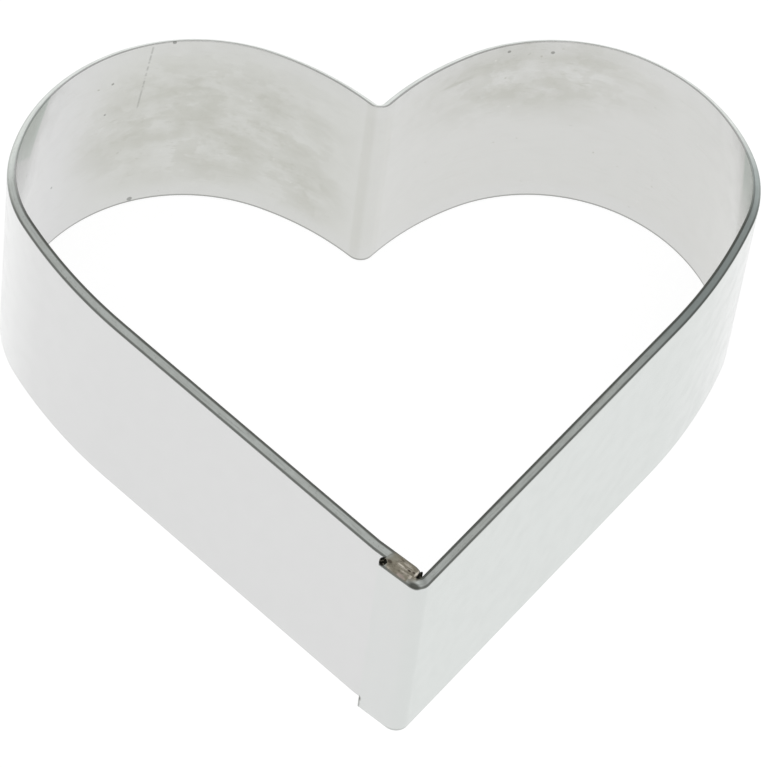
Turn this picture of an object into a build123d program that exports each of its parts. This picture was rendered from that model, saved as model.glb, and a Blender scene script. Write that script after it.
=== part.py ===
from build123d import *

import os
from math import cos, radians

# A heart-shaped cookie cutter: one strip of sheet metal, bent to a heart and closed by a welded lap beside its
# tip. Lengths are in millimetres and angles in degrees. X runs across the heart, Y from its tip to its lobes, and
# Z from the lower edge up to the rim. Radii of bends are those of the middle of the sheet, unless named inner.

# The strip
sheet_thickness = 1.0
band_depth = 20.0
rim_rounding = 0.4
foot_bevel = 0.15

# Half of the heart, from the cleft round the lobe to the straight side
cleft_radius = 1.0
brow_radius = 25.4
brow_turn = 21.2
lobe_radius = 15.7
lobe_turn = 101.4
shoulder_radius = 10.5
shoulder_turn = 39.0
flank_radius = 46.3
flank_turn = 16.0
side_angle = 48.2

# The lap: the strip goes round the tip and up outside its own first end
tip_inner_radius = 0.3
kink_distance = 5.0
kink_turn = 4.4
kink_radius = 3.0
lap_length = 2.7
faying_gap = 0.06
end_clearance = 0.35
inner_corner_radius = 0.6
outer_corner_radius = 0.8

# The weld in the top edges of the lap, ground flush, and the nuggets inside it
weld_length = 2.2
weld_width = 1.5
weld_depth = 0.5
weld_taper = 35.0
nugget_diameter = 1.6
nugget_penetration = 0.3
nugget_margin = 3.0
nugget_names = ("spot_weld_lower", "spot_weld_middle", "spot_weld_upper")

# The rim's rounding and the foot's bevel each take at most this share of the sheet from either side
edge_share = 0.45
rim_radius = min(rim_rounding, edge_share * sheet_thickness)
foot_chamfer = min(foot_bevel, edge_share * sheet_thickness)

os.makedirs("parts", exist_ok=True)

# The right half of the heart above its straight side, drawn from the middle of the cleft
cleft_turn = brow_turn + lobe_turn + shoulder_turn + flank_turn + side_angle - 180
with BuildLine() as right_crown:
    cleft = JernArc(start=(0, 0), tangent=(1, 0), radius=cleft_radius, arc_size=cleft_turn)
    brow = JernArc(start=cleft @ 1, tangent=cleft % 1, radius=brow_radius, arc_size=-brow_turn)
    lobe = JernArc(start=brow @ 1, tangent=brow % 1, radius=lobe_radius, arc_size=-lobe_turn)
    shoulder = JernArc(start=lobe @ 1, tangent=lobe % 1, radius=shoulder_radius, arc_size=-shoulder_turn)
    flank = JernArc(start=shoulder @ 1, tangent=shoulder % 1, radius=flank_radius, arc_size=-flank_turn)

# The two straight sides would cross on the Y axis
right_end = flank @ 1
left_end = Vector(-right_end.X, right_end.Y)
right_down = flank % 1
left_up = Vector(right_down.X, -right_down.Y)
crossing = right_end + right_down * (right_end.X / cos(radians(side_angle)))

# The left side kinks inward a little, so that its end makes room for the outer layer of the lap
kink = crossing + left_up * kink_distance
lap_down = (-left_up).rotate(Axis.Z, kink_turn)
lap_out = lap_down.rotate(Axis.Z, -90)
layer_pitch = sheet_thickness + faying_gap

# The inner layer ends a clearance short of the right side, and the outer layer rounds the tip and covers it
right_inward = right_down.rotate(Axis.Z, -90)
inner_stop = crossing + right_inward * (sheet_thickness / 2 + end_clearance)
inner_end = Axis(kink, lap_down).intersect(Axis(inner_stop, right_down))
outer_end = inner_end + lap_out * layer_pitch - lap_down * lap_length
tip_corner = Axis(outer_end, lap_down).intersect(Axis(crossing, right_down))

with BuildLine() as strip_path:
    add(right_crown.line)
    mirror(right_crown.line, about=Plane.YZ)
    FilletPolyline(left_end, kink, inner_end, radius=kink_radius)
    FilletPolyline(right_end, tip_corner, outer_end, radius=tip_inner_radius + sheet_thickness / 2)

# The origin lies under the middle of the outline
with BuildSketch() as outline:
    trace(strip_path.line, line_width=sheet_thickness)
middle = outline.sketch.bounding_box().center()
ground = Plane(origin=-middle)

# The middle of the lap, in the gap between its layers
lap_middle = ground.origin + inner_end + lap_out * (layer_pitch / 2) - lap_down * (lap_length / 2)
lap_plane = Plane(origin=lap_middle, x_dir=lap_down, z_dir=(0, 0, 1))

# The weld fills a boat-shaped pool along the gap, level with the top edges that it joins
with BuildPart() as seam_weld:
    with BuildSketch(lap_plane.offset(band_depth)):
        SlotOverall(weld_length, weld_width)
    extrude(amount=-weld_depth, taper=weld_taper)
seam_weld.part.label = "seam_weld"
export_step(seam_weld.part, "parts/seam_weld.step")

# Each nugget is a lens of fused metal that reaches into both layers. They are spread evenly between a margin above
# the foot and the same margin below the weld.
nugget_rise = faying_gap / 2 + nugget_penetration
lowest_height = nugget_margin + nugget_diameter / 2
highest_height = band_depth - weld_depth - nugget_margin - nugget_diameter / 2
nugget_pitch = (highest_height - lowest_height) / (len(nugget_names) - 1)
nuggets = []
for index, nugget_name in enumerate(nugget_names):
    nugget_plane = lap_plane.offset(lowest_height + index * nugget_pitch)
    with BuildPart() as nugget:
        with BuildSketch(nugget_plane):
            with BuildLine():
                crown = TangentArc((0, nugget_rise), (nugget_diameter / 2, 0), tangent=(1, 0))
                mirror(crown, about=Plane.XZ)
                Line((0, -nugget_rise), (0, nugget_rise))
            make_face()
        revolve(axis=Axis(nugget_plane.origin, nugget_plane.y_dir))
    nugget.part.label = nugget_name
    export_step(nugget.part, f"parts/{nugget_name}.step")
    nuggets.append(nugget.part)

# The band: the strip on edge, its upper corners and rim rounded and its foot bevelled, less the fused metal
with BuildPart() as heart_band:
    with BuildSketch(ground):
        trace(strip_path.line, line_width=sheet_thickness)
    extrude(amount=band_depth)
    for end, corner_radius in ((inner_end, inner_corner_radius), (outer_end, outer_corner_radius)):
        end_face = heart_band.faces().sort_by_distance(ground.origin + end + Vector(0, 0, band_depth / 2))[0]
        fillet(end_face.edges().sort_by(Axis.Z)[-1], radius=corner_radius)
    fillet(heart_band.faces().sort_by(Axis.Z)[-1].edges(), radius=rim_radius)
    chamfer(heart_band.faces().sort_by(Axis.Z)[0].edges(), length=foot_chamfer)
    add(seam_weld.part, mode=Mode.SUBTRACT)
    add(nuggets, mode=Mode.SUBTRACT)
heart_band.part.label = "heart_band"
export_step(heart_band.part, "parts/heart_band.step")

size = heart_band.part.bounding_box().size
print(f"heart {size.X:.2f} wide, {size.Y:.2f} from tip to lobes, {size.Z:.2f} deep")
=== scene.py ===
from functools import reduce
from math import atan2, ceil, cos, degrees, pi, radians, sin, sqrt, tan

import bpy
from mathutils import Matrix, Vector, noise


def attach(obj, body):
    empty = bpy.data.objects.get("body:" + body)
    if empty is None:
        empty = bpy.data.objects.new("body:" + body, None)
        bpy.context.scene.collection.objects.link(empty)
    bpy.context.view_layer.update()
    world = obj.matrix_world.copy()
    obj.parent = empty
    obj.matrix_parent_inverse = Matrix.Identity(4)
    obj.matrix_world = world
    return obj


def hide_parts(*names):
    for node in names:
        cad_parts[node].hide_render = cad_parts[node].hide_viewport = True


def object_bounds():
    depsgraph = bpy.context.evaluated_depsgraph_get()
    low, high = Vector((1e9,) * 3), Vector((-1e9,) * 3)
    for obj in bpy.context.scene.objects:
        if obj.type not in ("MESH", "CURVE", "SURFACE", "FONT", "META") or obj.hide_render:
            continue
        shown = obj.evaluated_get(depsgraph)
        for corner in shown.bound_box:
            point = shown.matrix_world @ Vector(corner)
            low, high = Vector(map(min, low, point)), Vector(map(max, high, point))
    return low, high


# A heart-shaped cookie cutter: a strip of sheet metal on edge, lapped and welded beside its tip.
# Lengths are in metres, worked out from the millimetres here. Angles are in degrees.

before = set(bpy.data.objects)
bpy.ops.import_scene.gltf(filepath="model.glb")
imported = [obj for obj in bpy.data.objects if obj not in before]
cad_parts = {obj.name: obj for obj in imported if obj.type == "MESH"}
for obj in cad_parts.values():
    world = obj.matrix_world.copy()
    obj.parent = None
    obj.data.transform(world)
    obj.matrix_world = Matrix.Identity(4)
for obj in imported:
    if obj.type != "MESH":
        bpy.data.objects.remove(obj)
cad_low, cad_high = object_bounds()

MM = 0.001

# The strip. Its outer wall is that of the solid. Its rim is ground to a bevel on the outside, whose top
# stands a little above the solid's rim.
SHEET = 0.75 * MM
RIM_RISE = 0.5 * MM
DEPTH = cad_high.z - cad_low.z + RIM_RISE
RIM_BEVEL = 0.6 * MM
EDGE_SOFTNESS = 0.05 * MM
CORNER_RADIUS = 0.75 * MM
FOOT_BEVEL = 0.1 * MM

# Half of the heart, from the cleft round the lobe to the straight side: the radius of the outer wall and the
# turn of each bend
CLEFT = (0.5 * MM, 45.8)
BROW = (25.9 * MM, 21.2)
LOBE = (16.2 * MM, 101.4)
SHOULDER = (11.0 * MM, 39.0)
FLANK = (46.8 * MM, 16.0)
SIDE_ANGLE = 48.2

# The lap beside the tip
TIP_OUTER_RADIUS = 1.2 * MM
KINK_DISTANCE = 5.0 * MM
KINK_TURN = 4.4
KINK_RADIUS = 3.0 * MM
LAP_LENGTH = 3.17 * MM
FAYING_GAP = 0.06 * MM
END_CLEARANCE = 0.28 * MM

# How finely the strip is meshed, and how far two faces bend before the edge between them is sharp
COLUMN_STEP = 0.5 * MM
COLUMN_TURN = 4.0
ROW_STEP = 0.8 * MM
EDGE_STEPS = 4
BEVEL_STEPS = 4
CORNER_STEPS = 2
WHOLE_STEP_SLACK = 1e-6
PLACE_DIGITS = 9
SHARP_ANGLE = 35.0

# How far the sheet waves, the length of the waves along and up the strip, and the slice of noise they are
# read from
WAVE_DEPTH = 0.012 * MM
WAVE_LENGTH = 9.0 * MM
WAVE_HEIGHT = 14.0 * MM
WAVE_SLICE = 0.37


# The route of the strip

def heading_vector(angle):
    """The unit vector along a heading, in degrees to the left of +X."""
    return Vector((cos(radians(angle)), sin(radians(angle))))


def left_of(vector):
    return Vector((-vector.y, vector.x))


def step_along(point, angle, length, turn, distance):
    """Where a leg of that length and turn, to the left, has got to after a distance."""
    if turn == 0:
        return point + heading_vector(angle) * distance, angle
    radius = length / radians(turn)
    now = angle + turn * distance / length
    swing = left_of(heading_vector(angle)) - left_of(heading_vector(now))
    return point + swing * radius, now


def walk(point, angle, legs):
    """The legs of a route, each with its start and its heading there, and where the last one ends."""
    route = []
    travelled = 0.0
    for length, turn in legs:
        route.append((travelled, length, turn, point, angle))
        point, angle = step_along(point, angle, length, turn, length)
        travelled += length
    return route, point, angle


def arc_leg(bend, side):
    """The length and turn of a bend of the sheet's middle, to the left where side is 1, else to the right."""
    outer_radius, turn = bend
    return (outer_radius + side * SHEET / 2) * radians(turn), side * turn


def meet(point_a, along_a, point_b, along_b):
    """Where two lines cross."""
    return point_a + along_a * ((point_b - point_a).cross(along_b) / along_a.cross(along_b))


def strip_route():
    """The middle line of the sheet, from its inner end up the left side and round to its outer end."""
    crown = [arc_leg(CLEFT, 1)] + [arc_leg(bend, -1) for bend in (BROW, LOBE, SHOULDER, FLANK)]
    _, right_end, down_angle = walk(Vector((0, 0)), 0.0, crown)
    right_down = heading_vector(down_angle)
    left_end = Vector((-right_end.x, right_end.y))
    left_up = Vector((right_down.x, -right_down.y))
    crossing = right_end + right_down * (right_end.x / cos(radians(SIDE_ANGLE)))

    kink = crossing + left_up * KINK_DISTANCE
    up_angle = degrees(atan2(left_up.y, left_up.x)) + KINK_TURN
    lap_up = heading_vector(up_angle)
    lap_out = left_of(lap_up)
    inner_stop = crossing - left_of(right_down) * (SHEET / 2 + END_CLEARANCE)
    inner_end = meet(kink, lap_up, inner_stop, right_down)
    outer_end = inner_end + lap_out * (SHEET + FAYING_GAP) + lap_up * LAP_LENGTH
    tip_corner = meet(outer_end, lap_up, crossing, right_down)

    tip_turn = (down_angle - up_angle) % 360
    kink_leg = KINK_RADIUS * tan(radians(KINK_TURN / 2))
    tip_leg = (TIP_OUTER_RADIUS - SHEET / 2) * tan(radians(tip_turn / 2))
    legs = [
        ((kink - inner_end).length - kink_leg, 0.0),
        (KINK_RADIUS * radians(KINK_TURN), -KINK_TURN),
        ((left_end - kink).length - kink_leg, 0.0),
        *reversed(crown),
        *crown,
        ((tip_corner - right_end).length - tip_leg, 0.0),
        arc_leg((TIP_OUTER_RADIUS, tip_turn), -1),
        ((outer_end - tip_corner).length - tip_leg, 0.0),
    ]
    lap_middle = inner_end + lap_out * ((SHEET + FAYING_GAP) / 2) + lap_up * (LAP_LENGTH / 2)
    route, _, _ = walk(inner_end, up_angle, legs)
    return route, lap_middle, -lap_up, lap_out


def on_route(route, distance):
    """The point and heading at a distance along the route."""
    start, length, turn, point, angle = next(leg for leg in reversed(route) if distance >= leg[0])
    return step_along(point, angle, length, turn, distance - start)


route, lap_middle, lap_down, lap_out = strip_route()
strip_length = route[-1][0] + route[-1][1]

# The drawing's origin is the middle of the cleft. The frame's lies under the middle of the outline, whose
# lobes reach highest where the heading is level.
_, brow_end, brow_heading = walk(Vector((0, 0)), 0.0, [arc_leg(CLEFT, 1), arc_leg(BROW, -1)])
lobe_length, lobe_turn = arc_leg(LOBE, -1)
level_at = lobe_length * brow_heading / LOBE[1]
lobe_top = step_along(brow_end, brow_heading, lobe_length, lobe_turn, level_at)[0].y + SHEET / 2
origin_shift = Vector((0, cad_high.y - lobe_top))
lap_middle += origin_shift


# The mesh of the strip: flat first, with a bevelled rim, round corners and a bevelled foot, and then bent

def spread(low, high, step):
    """Even places from low to high, no further apart than step."""
    count = max(1, ceil((high - low) / step - WHOLE_STEP_SLACK))
    return [low + (high - low) * i / count for i in range(count + 1)]


def edge_places():
    """Distances in from an edge that sample its softening, the bevel, the bevel's foot and the corner."""
    soft = [EDGE_SOFTNESS * (1 - cos(pi / 2 * k / EDGE_STEPS)) for k in range(EDGE_STEPS + 1)]
    stops = (EDGE_SOFTNESS, RIM_BEVEL - EDGE_SOFTNESS, RIM_BEVEL + EDGE_SOFTNESS, CORNER_RADIUS)
    for low, high, steps in zip(stops, stops[1:], (BEVEL_STEPS, EDGE_STEPS, CORNER_STEPS)):
        soft += spread(low, high, (high - low) / steps)[1:]
    return soft


def edge_loss(inset):
    """What the softened edge takes off either side of the sheet, at a distance in from the edge."""
    short = min(EDGE_SOFTNESS, max(0.0, EDGE_SOFTNESS - inset))
    return EDGE_SOFTNESS - sqrt(EDGE_SOFTNESS ** 2 - short ** 2)


def bevel_loss(drop):
    """What the bevel takes off the outer side, at a distance below the rim, softened at its foot and top."""
    left = RIM_BEVEL - drop
    if abs(left) < EDGE_SOFTNESS:
        left = (left + EDGE_SOFTNESS) ** 2 / (4 * EDGE_SOFTNESS)
    top = max(0.0, EDGE_SOFTNESS - drop) ** 2 / (2 * EDGE_SOFTNESS)
    return max(0.0, left) + top


def columns():
    """Where the columns of the mesh stand along the strip."""
    places = edge_places() + [strip_length - p for p in edge_places()]
    for start, length, turn, _, _ in route:
        step = min(COLUMN_STEP, length / max(1.0, abs(turn) / COLUMN_TURN))
        for place in spread(start, start + length, step):
            if CORNER_RADIUS < place < strip_length - CORNER_RADIUS:
                places.append(place)
    return sorted({round(place, PLACE_DIGITS) for place in places})


def rows():
    """Where the rows of the mesh lie up the strip."""
    foot = [0.0, FOOT_BEVEL / 2, FOOT_BEVEL]
    wall = spread(FOOT_BEVEL, DEPTH - CORNER_RADIUS, ROW_STEP)[1:-1]
    return foot + wall + [DEPTH - p for p in reversed(edge_places())]


def placed(along, height):
    """A point of the grid, drawn in to the rounded corners, and its distance in from the edge."""
    end = min(along, strip_length - along)
    top = DEPTH - height
    if end >= CORNER_RADIUS or top >= CORNER_RADIUS:
        return along, height, min(end, top)
    # The square at the corner is drawn in to a quarter of a disc, its border to the disc's
    a = 1 - end / CORNER_RADIUS
    b = 1 - top / CORNER_RADIUS
    x = a * sqrt(1 - b * b / 2)
    y = b * sqrt(1 - a * a / 2)
    end = CORNER_RADIUS * (1 - x)
    along = end if along < strip_length / 2 else strip_length - end
    return along, DEPTH - CORNER_RADIUS * (1 - y), CORNER_RADIUS * (1 - sqrt(x * x + y * y))


def sheet_wave(along, height):
    """How far the sheet dips inward, so that its reflections waver as rolled sheet's do."""
    wave = noise.noise(Vector((along / WAVE_LENGTH, height / WAVE_HEIGHT, WAVE_SLICE)))
    return -WAVE_DEPTH * (0.5 + 0.5 * wave)


def bent(along, across, height):
    """A point of the flat strip, where across points out of the heart, bent to the route."""
    point, angle = on_route(route, along)
    point = point + left_of(heading_vector(angle)) * across + origin_shift
    return Vector((point.x, point.y, height))


def add_vector_attribute(mesh, name, values):
    """Gives each point of a mesh a vector that its material reads."""
    attribute = mesh.attributes.new(name, "FLOAT_VECTOR", "POINT")
    attribute.data.foreach_set("vector", [c for value in values for c in value])


def lap_place(point):
    """A point in the lap's own frame: down the lap, out of it, and up from the worktop."""
    flat = Vector((point.x, point.y)) - lap_middle
    return Vector((flat.dot(lap_down), flat.dot(lap_out), point.z))


def mesh_object(name, points, faces, flat_places=()):
    """A smooth object that rides on the cutter. Its material reads its points' places in millimetres, in the
    lap's frame and, where they are given, in the flat strip."""
    mesh = bpy.data.meshes.new(name)
    mesh.from_pydata(points, [], faces)
    mesh.validate()
    add_vector_attribute(mesh, "lap", [lap_place(p) / MM for p in points])
    if flat_places:
        add_vector_attribute(mesh, "strip", [Vector(p) / MM for p in flat_places])
    mesh.shade_smooth()
    piece = bpy.data.objects.new(name, mesh)
    bpy.context.scene.collection.objects.link(piece)
    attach(piece, "root")
    return piece


def shell_faces(column_count, row_count):
    """The faces of a closed shell over a grid. The points of its first layer come column by column, and then
    those of its second one, under it."""
    layer = column_count * row_count
    faces = []
    for i in range(column_count - 1):
        for j in range(row_count - 1):
            a = i * row_count + j
            quad = [a, a + row_count, a + row_count + 1, a + 1]
            faces.append(quad)
            faces.append([layer + p for p in reversed(quad)])
    last_column, last_row = layer - row_count, row_count - 1
    border = [*range(0, last_column, row_count), *range(last_column, last_column + last_row)]
    border += [*range(last_column + last_row, last_row, -row_count), *range(last_row, 0, -1)]
    for a, b in zip(border, border[1:] + border[:1]):
        faces.append([a, layer + a, layer + b, b])
    return faces


def strip_mesh():
    """The points, faces and flat places of the whole strip."""
    xs, zs = columns(), rows()
    points, places = [], []
    for side in (1, -1):
        for x in xs:
            for z in zs:
                along, height, inset = placed(x, z)
                loss = max(edge_loss(inset), FOOT_BEVEL - height)
                if side == 1:
                    loss = max(loss, bevel_loss(DEPTH - height))
                across = side * (SHEET / 2 - loss)
                points.append(bent(along, across + sheet_wave(along, height), height))
                places.append((along, across, height))
    return points, shell_faces(len(xs), len(zs)), places


band = mesh_object("band", *strip_mesh())
band.data.set_sharp_from_angle(angle=radians(SHARP_ANGLE))
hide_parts("heart_band")


# Materials

# The mix node's sockets for colours go by number, because those for plain values share their names
MIX_FACTOR, MIX_FIRST, MIX_SECOND, MIX_COLOUR = 0, 6, 7, 2

# A painted line is full over this share of its reach on either side, and fades out over the rest
FULL_SHARE = 0.3


class Graph:
    """Adds nodes to a node tree. A call that works out a value or a shader gives back the node's output."""

    def __init__(self, tree):
        self.tree = tree
        tree.nodes.clear()

    def feed(self, socket, value):
        if isinstance(value, bpy.types.NodeSocket):
            self.tree.links.new(value, socket)
        elif isinstance(value, tuple) and socket.type == "RGBA" and len(value) == 3:
            socket.default_value = (*value, 1)
        else:
            socket.default_value = value

    def add(self, kind, inputs=(), output=0, **settings):
        node = self.tree.nodes.new(kind)
        for name, value in settings.items():
            setattr(node, name, value)
        for name, value in dict(inputs).items():
            self.feed(node.inputs[name], value)
        return node.outputs[output]

    def math(self, operation, *values):
        return self.add("ShaderNodeMath", enumerate(values), operation=operation)

    def vector(self, operation, *values, output=0):
        return self.add("ShaderNodeVectorMath", enumerate(values), output, operation=operation)

    def split(self, vector, axis):
        return self.add("ShaderNodeSeparateXYZ", {0: vector}, "XYZ".index(axis))

    def attribute(self, name):
        settings = {"attribute_type": "GEOMETRY", "attribute_name": name}
        return self.add("ShaderNodeAttribute", output="Vector", **settings)

    def step(self, value, low, high, to_low=0.0, to_high=1.0):
        """Rises smoothly from to_low at low to to_high at high. Where low is the greater, it falls."""
        inputs = {
            "Value": value, "From Min": low, "From Max": high, "To Min": to_low, "To Max": to_high}
        return self.add("ShaderNodeMapRange", inputs, interpolation_type="SMOOTHSTEP")

    def noise(self, vector, scale, detail, rough=0.55, stretch=(1, 1, 1)):
        place = self.vector("MULTIPLY", vector, stretch)
        inputs = {"Vector": place, "Scale": scale, "Detail": detail, "Roughness": rough}
        return self.add("ShaderNodeTexNoise", inputs, "Fac")

    def blend(self, factor, a, b):
        """Colour a where the factor is 0 and b where it is 1."""
        node = self.tree.nodes.new("ShaderNodeMix")
        node.data_type = "RGBA"
        self.feed(node.inputs[MIX_FACTOR], factor)
        self.feed(node.inputs[MIX_FIRST], a)
        self.feed(node.inputs[MIX_SECOND], b)
        return node.outputs[MIX_COLOUR]

    def blob(self, vector, centre, half, soft):
        """1 in the middle of an ellipsoid of that half size, falling to 0 at its edge over the soft share."""
        offset = self.vector("SUBTRACT", vector, centre)
        scaled = self.vector("DIVIDE", offset, half)
        return self.step(self.vector("LENGTH", scaled, output="Value"), 1.0, 1.0 - soft)

    def chain(self, operation, values):
        return reduce(lambda a, b: self.math(operation, a, b), values)

    def product(self, *values):
        return self.chain("MULTIPLY", values)

    def total(self, *values):
        return self.chain("ADD", values)

    def greatest(self, *values):
        return self.chain("MAXIMUM", values)

    def beyond(self, value, start):
        """How far a value is beyond a start."""
        return self.math("SUBTRACT", value, start)

    def both_sides(self, value, centre, reach):
        """1 near the centre, falling to 0 at the reach on either side."""
        return self.step(self.math("ABSOLUTE", self.beyond(value, centre)), reach, reach * FULL_SHARE)

    def ramp_line(self, value, start, rise, at):
        """A line over a value: start where the value is at, and rise more for each unit beyond."""
        return self.math("MULTIPLY_ADD", self.beyond(value, at), rise, start)

    def layers(self, colour, *coats):
        """Coats of paint, each a mask, how much of it shows and its colour, over a first colour."""
        for mask, share, coat in coats:
            colour = self.blend(self.product(mask, share), colour, coat)
        return colour

    def finish(self, kind, shader):
        """Adds the tree's output, of that kind, and gives nothing back."""
        out = self.tree.nodes.new(kind)
        self.tree.links.new(shader, out.inputs["Surface"])


def metal(name, colour, roughness, bump, strength=0.2, reach=0.02 * MM):
    """A bare metal from the functions that paint its colour, its roughness and its bumps."""
    material = bpy.data.materials.new(name)
    material.use_nodes = True
    g = Graph(material.node_tree)
    tone, rough, height = colour(g), roughness(g), bump(g)
    normal = g.add("ShaderNodeBump", {"Height": height, "Strength": strength, "Distance": reach})
    inputs = {"Base Color": tone, "Roughness": rough, "Normal": normal, "Metallic": 1.0}
    g.finish("ShaderNodeOutputMaterial", g.add("ShaderNodeBsdfPrincipled", inputs))
    return material


# Colours of the strip: its outer wall on the left, on the right and with a painted highlight where the lobes
# turn away, the lobes' inner walls, their stains, dust and slivers of reflection, the ground bevel, and the
# grime, burns and painted shade that darken it all
STEEL = (0.676, 0.678, 0.676)
COOL_STEEL = (0.642, 0.668, 0.652)
HIGHLIGHT_STEEL = (0.88, 0.89, 0.885)
LEFT_LOBE = (0.635, 0.64, 0.615)
RIGHT_LOBE = (0.655, 0.657, 0.64)
STAIN_AND_SHADE = (0.455, 0.455, 0.40)
DUST = (0.79, 0.79, 0.77)
SLIVER = (0.47, 0.525, 0.49)
GROUND = (0.74, 0.78, 0.75)
GRIME_AND_SHADE = (0.11, 0.115, 0.10)
COOL_DARKENING = (0.33, 0.38, 0.37)
OXIDE_AND_SHADE = (0.012, 0.012, 0.009)
BROWN = (0.36, 0.33, 0.26)

# Places in the strip's millimetres: the middle of the cleft, where a leg of the route starts, the rim, the
# bevel's foot and the inner wall
CLEFT_LEG = 8
CLEFT_MIDDLE = route[CLEFT_LEG][0] / MM
RIM_HEIGHT = DEPTH / MM
BEVEL_FOOT = (DEPTH - RIM_BEVEL) / MM
INNER_WALL = -0.4

# The stains on the inner wall are blobs that reach right through the sheet: centre and half of the size,
# along the strip and up it, and how softly each ends
STAINS = (
    ((76, 10.5), (16, 11.5), 0.6),
    ((84, 6), (6.5, 7.5), 0.8),
    ((107, 17), (15, 8.5), 0.8),
)
FAINT_STAIN = ((99.6, 17.6), (2.2, 0.35), 0.8)
THROUGH = 50

# Dark specks on the inner wall: centre, along the strip and up it, and half of the width
MARKS = (
    ((67.0, 16.8), 0.16),
    ((66.4, 13.1), 0.13),
    ((60.6, 7.8), 0.13),
    ((56.0, 14.1), 0.14),
    ((108.3, 19.1), 0.22),
    ((104.4, 19.7), 0.2),
    ((69.4, 0.5), 0.3),
    ((72.4, 20.42), 0.22),
)
MARK_SOFTNESS = 0.4

# Painted shade round the lap, and burnt black that also stands for shade, as blobs in its millimetres: centre
# and half of the size, down the lap, out of it and up, how softly each ends, how much of it shows and its
# colour
LAP_TINTS = {
    "tip": ((1.98, 0.55, RIM_HEIGHT - 0.40), (0.95, 0.45, 0.34), 0.6, 0.95, GRIME_AND_SHADE),
    "side of the tip": ((2.25, -0.10, RIM_HEIGHT - 0.2), (0.50, 0.55, 0.6), 0.7, 0.30, GRIME_AND_SHADE),
    "foot of the outer end": ((-1.58, 0.72, 0.6), (0.24, 0.4, 1.3), 0.6, 0.50, GRIME_AND_SHADE),
    "spot above that foot": ((-1.58, 0.72, 1.3), (0.32, 0.4, 0.5), 0.7, 0.80, GRIME_AND_SHADE),
    "foot of the tip": ((2.2, 0.6, 0.0), (1.6, 1.6, 0.4), 0.7, 0.35, GRIME_AND_SHADE),
    "burn and shade at the outer end": ((-1.40, 0.33, RIM_HEIGHT - 0.2), (0.28, 0.34, 0.8), 0.25, 1.0, OXIDE_AND_SHADE),
    "shade at the inner end": ((1.70, -0.38, RIM_HEIGHT - 0.75), (0.30, 0.75, 1.3), 0.25, 1.0, OXIDE_AND_SHADE),
}


def bevel_mask(g, across, height):
    """1 on the ground bevel, 0 on the walls below it and inside it."""
    return g.product(g.step(across, -0.30, -0.22), g.step(height, BEVEL_FOOT, BEVEL_FOOT + 0.06))


def wall_blob(g, place, centre, half, soft):
    """A blob on a wall of the strip, which reaches right through the sheet."""
    return g.blob(place, (centre[0], 0, centre[1]), (half[0], THROUGH, half[1]), soft)


def outer_wall(g, along):
    """The outer wall: cooler on the right, plain again round the tip, with a painted highlight where the
    lobes turn away.
    """
    right = g.step(along, 120.0, 150.0)
    tip = g.step(along, 182.0, 184.5)
    turning_highlight = g.product(g.step(along, 42.0, 48.0), g.step(along, 141.0, 135.0))
    # a painted highlight where the lobes turn away
    return g.layers(STEEL, (right, 1.0, COOL_STEEL), (tip, 0.6, STEEL), (turning_highlight, 0.4, HIGHLIGHT_STEEL))


def sliver_mask(g, along, height):
    """The slivers of dark reflection high on the far left and far right of the inner wall. Each begins at a
    line across the wall."""
    left_line = g.greatest(g.ramp_line(along, 15.6, 1.5, 56.6), g.ramp_line(along, 15.6, -0.9, 56.6))
    left = g.product(
        g.step(g.beyond(height, left_line), 0.0, 0.5),
        g.step(along, 51.5, 53.0),
        g.step(along, 61.5, 60.5),
        g.step(height, 14.0, 18.5, 0.25, 1.0))
    right_line = g.ramp_line(height, 128.9, -0.27, RIM_HEIGHT)
    right = g.product(g.step(g.beyond(along, right_line), 0.0, 0.5), g.step(height, 14.5, 18.8))
    return g.greatest(left, right)


def crease_shade_mask(g, along):
    """Painted shade along the two edges of the bend at the cleft, of which the right one is fainter."""
    left = g.both_sides(along, CLEFT_MIDDLE - 0.55, 0.55)
    right = g.both_sides(along, CLEFT_MIDDLE + 0.9, 0.6)
    return g.greatest(left, g.product(right, 0.4))


def scratch_mask(g, place, along, height):
    """One long, broken scratch up the left lobe's inner wall."""
    line = g.ramp_line(height, 69.5, 0.14, 12.7)
    dashes = g.step(g.noise(place, 1.3, 3, 0.6, (0.1, 0.1, 1)), 0.40, 0.52)
    return g.product(g.both_sides(g.beyond(along, line), 0.0, 0.13), g.step(height, 12.4, 13.0), dashes)


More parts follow.
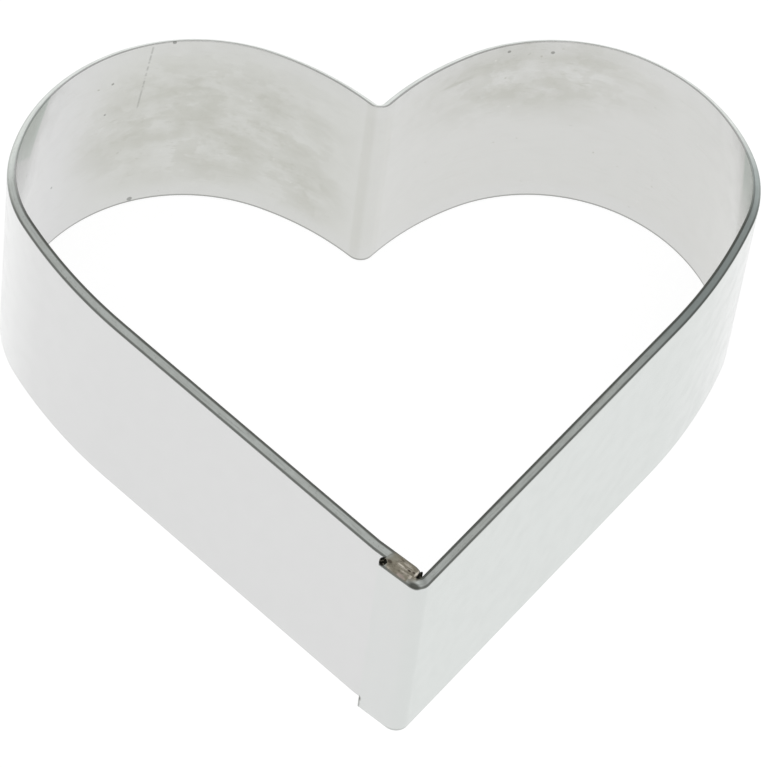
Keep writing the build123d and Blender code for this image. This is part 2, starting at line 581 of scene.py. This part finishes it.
def inner_wall(g, place, along, height, grain):
    """The inner wall: steel with cloudy stains on both lobes, painted slivers of reflection, painted shade on
    a crease and along the foot, specks and a scratch.
    """
    right_half = g.step(along, CLEFT_MIDDLE - 3, CLEFT_MIDDLE + 3)
    metal_tone = g.blend(right_half, LEFT_LOBE, RIGHT_LOBE)
    metal_tone = g.blend(g.step(along, 70.0, 60.0), metal_tone, STEEL)
    stained = g.greatest(*(wall_blob(g, place, *stain) for stain in STAINS))
    faint = wall_blob(g, place, *FAINT_STAIN)
    marks = g.greatest(*(
        g.blob(place, (at, INNER_WALL, up), (half, 1, half), MARK_SOFTNESS) for (at, up), half in MARKS))

    cloud = g.step(g.noise(place, 0.13, 6, 0.60, (1, 0.2, 1.5)), 0.36, 0.64)
    smudge = g.step(g.noise(place, 0.22, 5, 0.62, (1, 0.2, 1.4)), 0.50, 0.56)
    streak = g.step(g.noise(place, 0.9, 4, 0.6, (0.16, 0.2, 1.6)), 0.48, 0.72)
    dash = g.step(g.noise(place, 1.5, 3, 0.6, (0.5, 0.2, 1.9)), 0.63, 0.70)
    specks = g.step(g.noise(place, 1.7, 2, 0.5, (1, 0.2, 1)), 0.735, 0.76)
    pale = g.step(g.noise(place, 2.3, 2, 0.5, (1, 0.2, 1)), 0.745, 0.77)
    return g.layers(
        metal_tone,
        (g.product(stained, cloud), 0.50, STAIN_AND_SHADE),
        (g.product(stained, smudge), 0.22, STAIN_AND_SHADE),
        (g.product(stained, streak), 0.09, STAIN_AND_SHADE),
        (g.product(stained, dash), 0.30, STAIN_AND_SHADE),
        (grain, 0.08, STAIN_AND_SHADE),
        (g.step(height, 18.2, 19.4), 0.25, STEEL),
        (g.step(height, 2.6, 0.8), 0.35, STEEL),
        (sliver_mask(g, along, height), 0.7, SLIVER),
        # painted shade along the edges of the crease
        (crease_shade_mask(g, along), 0.17, STAIN_AND_SHADE),
        (faint, 0.4, STAIN_AND_SHADE),
        (pale, 0.5, DUST),
        (specks, 0.6, STAIN_AND_SHADE),
        (scratch_mask(g, place, along, height), 0.28, GRIME_AND_SHADE),
        (marks, 0.55, GRIME_AND_SHADE),
        # painted shade along the foot of the wall, where it meets the floor
        (g.step(height, 0.34, 0.16), 0.62, GRIME_AND_SHADE))


def ground_bevel(g, place, along, mottle):
    """The ground bevel: mottled, lined and dotted, and darker at the far right."""
    lines = g.step(g.noise(place, 1.0, 3, 0.6, (0.35, 7, 7)), 0.48, 0.70)
    dots = g.step(g.noise(place, 5.5, 3, 0.6), 0.60, 0.72)
    far_right = g.product(g.step(along, 126.0, 132.0), g.step(along, 160.0, 146.0))
    return g.layers(
        GROUND,
        (g.step(mottle, 0.35, 0.7), 0.22, STAIN_AND_SHADE),
        (lines, 0.22, GRIME_AND_SHADE),
        (dots, 0.35, GRIME_AND_SHADE),
        (far_right, 0.80, COOL_DARKENING))


def band_colour(g):
    place = g.attribute("strip")
    lap = g.attribute("lap")
    along, across, height = (g.split(place, axis) for axis in "XYZ")
    inside = g.step(across, -0.2, -0.3)
    grain = g.step(g.noise(place, 4.0, 3, 0.6, (0.12, 0.2, 1)), 0.5, 0.8)
    mottle = g.noise(place, 1.8, 5, 0.65, (0.5, 1, 1))
    walls = g.blend(inside, outer_wall(g, along), inner_wall(g, place, along, height, grain))

    # The painted shade line at the bevel's foot is darkest on the straight sides, and the rim's painted dark
    # inner line is only there
    bevel = bevel_mask(g, across, height)
    sides = g.greatest(g.step(along, 52.0, 45.0), g.step(along, 131.0, 138.0))
    outer_shade_line = g.product(
        bevel, g.both_sides(height, BEVEL_FOOT + 0.09, 0.12), g.step(sides, 0.0, 1.0, 0.3, 1.0))
    inner_shade_line = g.product(
        g.step(height, RIM_HEIGHT - 0.12, RIM_HEIGHT - 0.04), g.step(across, -0.10, -0.20), sides)
    heated = g.blob(lap, (0.1, 0.1, RIM_HEIGHT), (2.0, 1.4, 0.75), 0.35)
    paint = g.layers(
        walls,
        (g.product(grain, g.step(height, 12.0, 19.0)), 0.03, STAIN_AND_SHADE),
        (bevel, 1.0, ground_bevel(g, place, along, mottle)),
        (outer_shade_line, 0.72, GRIME_AND_SHADE),
        (inner_shade_line, 0.88, GRIME_AND_SHADE),
        (g.product(heated, g.step(mottle, 0.2, 0.6, 0.6, 1.0)), 0.85, BROWN))
    for centre, half, soft, share, colour in LAP_TINTS.values():
        paint = g.layers(paint, (g.blob(lap, centre, half, soft), share, colour))
    return paint


def band_roughness(g):
    place = g.attribute("strip")
    across, height = g.split(place, "Y"), g.split(place, "Z")
    smooth = g.step(g.noise(place, 0.6, 3), 0.3, 0.7, 0.17, 0.25)
    return g.math("MULTIPLY_ADD", bevel_mask(g, across, height), 0.12, smooth)


def band_bump(g):
    place = g.attribute("strip")
    return g.noise(place, 5.0, 3, 0.6, (0.15, 1, 1))


band.data.materials.append(metal("band_metal", band_colour, band_roughness, band_bump))

# Colours of the weld: its heat tints, its ground streaks and its edges
CREAM = (0.93, 0.87, 0.76)
OLIVE = (0.42, 0.41, 0.34)
PINK = (0.72, 0.60, 0.55)
GREY_TINT = (0.50, 0.52, 0.48)
DARK_BROWN = (0.07, 0.055, 0.04)

# Tints on the weld's face, as blobs in the lap's millimetres: centre and half of the size, down the lap and
# out of it, how much of each shows, and its colour
WELD_TINTS = (
    ((-1.0, -0.30), (0.75, 0.55), 0.75, OLIVE),
    ((-1.32, -0.25), (0.42, 0.60), 0.75, GREY_TINT),
    ((-0.90, 0.22), (0.32, 0.15), 0.75, DARK_BROWN),
    ((0.0, -0.08), (0.50, 0.10), 0.85, CREAM),
    ((0.5, -0.38), (0.60, 0.10), 0.45, CREAM),
    ((0.0, -0.50), (0.45, 0.08), 0.50, DARK_BROWN),
    ((0.45, 0.58), (0.55, 0.22), 0.60, PINK),
    ((0.78, -0.10), (0.22, 0.13), 0.85, DARK_BROWN),
    ((1.17, -0.20), (0.18, 0.13), 0.80, DARK_BROWN),
    ((1.38, -0.32), (0.12, 0.50), 0.90, CREAM),
    ((-0.55, 0.72), (0.60, 0.16), 0.80, OLIVE),
    ((0.70, 0.74), (0.45, 0.14), 0.70, DARK_BROWN),
    ((1.25, 0.30), (0.28, 0.24), 0.55, CREAM),
    ((0.10, -0.74), (1.50, 0.13), 0.80, DARK_BROWN),
)
TINT_DEPTH = 2
TINT_SOFTNESS = 0.6


def weld_colour(g):
    place = g.attribute("lap")
    streak = g.step(g.noise(place, 1.6, 5, 0.6, (0.55, 2.2, 0.6)), 0.47, 0.66, 0.0, 0.8)
    fleck = g.step(g.noise(place, 5.0, 4, 0.6, (0.6, 1.2, 1)), 0.48, 0.66)
    paint = g.layers(g.blend(streak, BROWN, CREAM), (fleck, 0.45, DARK_BROWN))
    for centre, half, share, colour in WELD_TINTS:
        tint = g.blob(place, (*centre, RIM_HEIGHT), (*half, TINT_DEPTH), TINT_SOFTNESS)
        paint = g.layers(paint, (tint, share, colour))
    return paint


def weld_roughness(g):
    return g.step(g.noise(g.attribute("lap"), 2.5, 4, 0.6), 0.3, 0.7, 0.28, 0.5)


def weld_bump(g):
    return g.noise(g.attribute("lap"), 4.0, 5, 0.65, (0.5, 1.6, 1))


# The weld: a bead ground flush with the rim, streaked along the strip, that runs down the outer layer's
# bevel. Its middle and half of its size are given down the lap and out of it. Its ends are rounded, its sides
# taper towards them, and it narrows towards its underside.
WELD_MIDDLE = (0.07 * MM, 0.0)
WELD_HALF = (1.44 * MM, 0.762 * MM)
WELD_ROUNDNESS = 0.25
WELD_TAPER = 0.08
WELD_NARROWING = 0.12
WELD_DEPTH = 0.35 * MM
WELD_RISE = 0.015 * MM
WELD_STEP = 0.035 * MM
WELD_SHARP_ANGLE = 50.0

# How far the weld's edge falls off, and how sharply
WELD_EDGE = 0.10 * MM
EDGE_POWER = 6

# How high its streaks and lumps are together, the share of each, how often they come in a millimetre down the
# lap and out of it, and their slices of the noise
WELD_STREAKS = 0.035 * MM
STREAK_SHARE, LUMP_SHARE = 0.6, 0.4
STREAK_RATE = (1.1, 5.0)
LUMP_RATE = (3.5, 3.5)
STREAK_SLICE, LUMP_SLICE = 0.7, 4.1


def lap_noise(down, out, rate, slice_at):
    """Noise over the lap, which comes at its own rate down the lap and out of it."""
    return noise.noise(Vector((down / MM * rate[0], out / MM * rate[1], slice_at)))


def lap_top(out):
    """The height of the lap's top edge at a place out of the lap: the rim's, and then down the bevel."""
    return DEPTH - max(0.0, out - (FAYING_GAP / 2 + SHEET - RIM_BEVEL))


def weld_top(down, out, edge):
    """The height of the weld's face, where edge is 0 in its middle and 1 at its border."""
    streak = lap_noise(down, out, STREAK_RATE, STREAK_SLICE)
    lumps = lap_noise(down, out, LUMP_RATE, LUMP_SLICE)
    rough = WELD_STREAKS * (STREAK_SHARE * streak + LUMP_SHARE * lumps)
    return lap_top(out) + WELD_RISE + rough - WELD_EDGE * edge ** EDGE_POWER


def weld_mesh():
    """The points and faces of a shell over the lap: a streaked face, and its like a little below it."""
    across = spread(-1.0, 1.0, WELD_STEP / WELD_HALF[1])
    along = spread(-1.0, 1.0, WELD_STEP / WELD_HALF[0])
    points = []
    for level in (0, 1):
        for u in along:
            for v in across:
                x, y = u * sqrt(1 - v * v * WELD_ROUNDNESS), v * sqrt(1 - u * u * WELD_TAPER)
                down = WELD_MIDDLE[0] + WELD_HALF[0] * x
                out = WELD_MIDDLE[1] + WELD_HALF[1] * y
                height = weld_top(down, out, max(abs(u), abs(v))) - WELD_DEPTH * level
                flat = lap_middle + lap_down * down + lap_out * (out * (1 - WELD_NARROWING * level))
                points.append(Vector((flat.x, flat.y, height)))
    return points, shell_faces(len(along), len(across))


weld = mesh_object("weld", *weld_mesh())
weld.data.set_sharp_from_angle(angle=radians(WELD_SHARP_ANGLE))
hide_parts("seam_weld")
weld.data.materials.append(metal("weld_metal", weld_colour, weld_roughness, weld_bump, 0.5, 0.04 * MM))

# Beads of burnt metal on the ends of the two layers, black also as painted shade there: middle and half of
# the size, down the lap and out of it, turn, and height
BEADS = {
    "outer_bead": ((-1.37 * MM, 0.37 * MM), (0.31 * MM, 0.37 * MM), 35.0, 0.10 * MM),
    "inner_bead": ((1.68 * MM, -0.33 * MM), (0.15 * MM, 0.42 * MM), -15.0, 0.02 * MM),
}
BEAD_DEPTH = 0.45 * MM
BEAD_RINGS = 10
BEAD_SIDES = 36

# How full a bead's dome is, how deep and how wide the dent in its top is, its lumps, and how steeply it falls
# outward, with the bevel
DOME_POWER = 3
DENT_SHARE = 0.3
DENT_REACH = 0.5
BEAD_LUMP_SHARE = 0.25
BEAD_LUMP_RATE = (4, 4)
BEAD_LUMP_SLICE = 9.3
BEAD_LEAN = 0.5


def bead_mesh(place, half, turned, rise):
    """A domed, slightly dented bead that follows the bevel, with a plain stem under it."""
    down, out = place
    base = lap_top(out)
    middle = lap_middle + lap_down * down + lap_out * out
    points = [Vector((middle.x, middle.y, base + rise * (1 - DENT_SHARE)))]
    faces = []
    turn = Matrix.Rotation(radians(turned), 2)
    for ring in range(1, BEAD_RINGS + 2):
        share = min(1.0, ring / BEAD_RINGS)
        for k in range(BEAD_SIDES):
            way = heading_vector(360 * k / BEAD_SIDES) * share
            x, y = turn @ Vector((way.x * half[0], way.y * half[1]))
            dent = DENT_SHARE * max(0.0, 1 - (share / DENT_REACH) ** 2)
            lump = BEAD_LUMP_SHARE * lap_noise(x, y, BEAD_LUMP_RATE, BEAD_LUMP_SLICE)
            height = base - max(0.0, y) * BEAD_LEAN + rise * (1 - share ** DOME_POWER - dent + lump)
            if ring > BEAD_RINGS:
                height = base - BEAD_DEPTH
            flat = middle + lap_down * x + lap_out * y
            points.append(Vector((flat.x, flat.y, height)))
    for k in range(BEAD_SIDES):
        after = (k + 1) % BEAD_SIDES
        faces.append([0, 1 + after, 1 + k])
        for ring in range(BEAD_RINGS):
            a, b = 1 + ring * BEAD_SIDES, 1 + (ring + 1) * BEAD_SIDES
            faces.append([a + k, a + after, b + after, b + k])
    faces.append([1 + BEAD_RINGS * BEAD_SIDES + k for k in range(BEAD_SIDES)])
    return points, faces


def bead_colour(g):
    place = g.attribute("lap")
    # Black for burnt metal and painted shade, with brown patches painted as its faint glint
    return g.blend(g.step(g.noise(place, 6.0, 3), 0.58, 0.72), OXIDE_AND_SHADE, BROWN)


burnt_metal_and_shade = metal("burnt_metal_and_shade", bead_colour, weld_roughness, weld_bump, 0.4, 0.03 * MM)
for bead_name, bead_shape in BEADS.items():
    bead = mesh_object(bead_name, *bead_mesh(*bead_shape))
    bead.data.materials.append(burnt_metal_and_shade)


def object_noise(g, scale, detail):
    """Noise over a piece that is shown as its solid, so its places are in metres."""
    return g.noise(g.add("ShaderNodeTexCoord", output="Object"), scale, detail)


def nugget_colour(g):
    return g.blend(object_noise(g, 900, 4), STEEL, OLIVE)


def nugget_bump(g):
    return object_noise(g, 2500, 3)


def nugget_roughness(g):
    return g.step(nugget_bump(g), 0.3, 0.7, 0.3, 0.45)


nugget_metal = metal("nugget_metal", nugget_colour, nugget_roughness, nugget_bump)
for name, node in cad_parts.items():
    if name.startswith("spot_weld"):
        node.data.materials.clear()
        node.data.materials.append(nugget_metal)


# The floor, the light and the camera

# The floor: a wide disc a hair under the cutter, that glows white for the camera and for reflections, and
# gives back some of the room's light
FLOOR_RADIUS = 2500 * MM
FLOOR_DROP = 0.02 * MM
FLOOR_SIDES = 96
FLOOR_GLOW = 0.86
FLOOR_GREY = (0.3, 0.3, 0.3)
WHITE = (1.0, 1.0, 1.0)


def make_floor():
    rim = [heading_vector(360 * i / FLOOR_SIDES) * FLOOR_RADIUS for i in range(FLOOR_SIDES)]
    mesh = bpy.data.meshes.new("floor")
    mesh.from_pydata([(p.x, p.y, -FLOOR_DROP) for p in rim], [], [list(range(FLOOR_SIDES))])
    floor = bpy.data.objects.new("floor", mesh)
    bpy.context.scene.collection.objects.link(floor)
    material = bpy.data.materials.new("floor_white")
    material.use_nodes = True
    g = Graph(material.node_tree)
    rays = ("Is Camera Ray", "Is Glossy Ray")
    seen = g.greatest(*(g.add("ShaderNodeLightPath", output=ray) for ray in rays))
    glow = g.add("ShaderNodeEmission", {"Color": WHITE, "Strength": g.product(seen, FLOOR_GLOW)})
    matt = g.add("ShaderNodeBsdfDiffuse", {"Color": FLOOR_GREY})
    g.finish("ShaderNodeOutputMaterial", g.add("ShaderNodeAddShader", {0: glow, 1: matt}))
    mesh.materials.append(material)


make_floor()

# The way to the soft light overhead
LAMP_WAY = (-0.05, -0.35, 0.935)


def make_world():
    """A dim room, grey at its sides, with a soft light overhead, and white where the camera sees it."""
    world = bpy.data.worlds.new("studio")
    bpy.context.scene.world = world
    world.use_nodes = True
    g = Graph(world.node_tree)
    way = g.add("ShaderNodeTexCoord", output="Generated")
    x, y, z = (g.split(way, axis) for axis in "XYZ")

    # The walls: the sides of the room, its middle, which is lighter on the camera's side, and a glow at the
    # back on the left
    side = g.step(g.math("ABSOLUTE", x), 0.45, 0.80)
    side_tone = g.ramp_line(x, 0.485, -0.03, 0.0)
    ahead = g.step(y, 0.1, -0.3)
    middle = g.step(z, 0.25, 0.50, g.ramp_line(ahead, 0.45, 0.43, 0.0), 0.58)
    left_glow = g.product(g.step(x, -0.4, -0.65), g.step(y, 0.58, 0.75), 0.4)
    walls = g.total(g.product(side, g.beyond(side_tone, middle)), g.total(middle, left_glow))

    # They are a little darker near the horizon, but not at the back on the left or on the camera's side
    horizon = g.greatest(
        g.step(z, 0.02, 0.16, 0.85, 1.0),
        g.product(g.step(x, -0.3, -0.6), g.step(y, 0.1, 0.4)),
        g.product(g.beyond(1.0, side), ahead))
    lamp = g.step(g.vector("DOT_PRODUCT", way, LAMP_WAY, output="Value"), 0.90, 0.97, 0.0, 0.9)
    room = g.total(g.product(walls, horizon), lamp)
    seen = g.add("ShaderNodeLightPath", output="Is Camera Ray")
    strength = g.total(seen, g.product(g.beyond(1.0, seen), room))
    g.finish("ShaderNodeOutputWorld", g.add("ShaderNodeBackground", {"Color": WHITE, "Strength": strength}))


make_world()

# The camera: what it looks at, where it stands, how it is turned, its lens and how far it sees
AIM = Vector((1.01 * MM, 6.94 * MM, 0))
CAMERA_AZIMUTH = -10.41
CAMERA_ELEVATION = 52.855
CAMERA_ROLL = 8.062
CAMERA_DISTANCE = 456.9 * MM
LENS_IN_MM = 255.2
SHIFT = (0.0013, -0.0003)
NEAREST = 10 * MM
FARTHEST = 20000 * MM


def make_camera():
    azimuth, elevation, roll = (radians(a) for a in (CAMERA_AZIMUTH, CAMERA_ELEVATION, CAMERA_ROLL))
    back = Vector((sin(azimuth) * cos(elevation), -cos(azimuth) * cos(elevation), sin(elevation)))
    right = (-back).cross(Vector((0, 0, 1))).normalized()
    up = right.cross(-back)
    turned_right = right * cos(roll) + up * sin(roll)
    turned_up = up * cos(roll) - right * sin(roll)
    data = bpy.data.cameras.new("camera")
    data.lens = LENS_IN_MM
    data.shift_x, data.shift_y = SHIFT
    data.clip_start, data.clip_end = NEAREST, FARTHEST
    camera = bpy.data.objects.new("camera", data)
    bpy.context.scene.collection.objects.link(camera)
    axes = Matrix((turned_right, turned_up, back)).transposed().to_4x4()
    camera.matrix_world = Matrix.Translation(AIM + back * CAMERA_DISTANCE) @ axes
    bpy.context.scene.camera = camera


make_camera()
bpy.context.scene.view_settings.view_transform = "Standard"
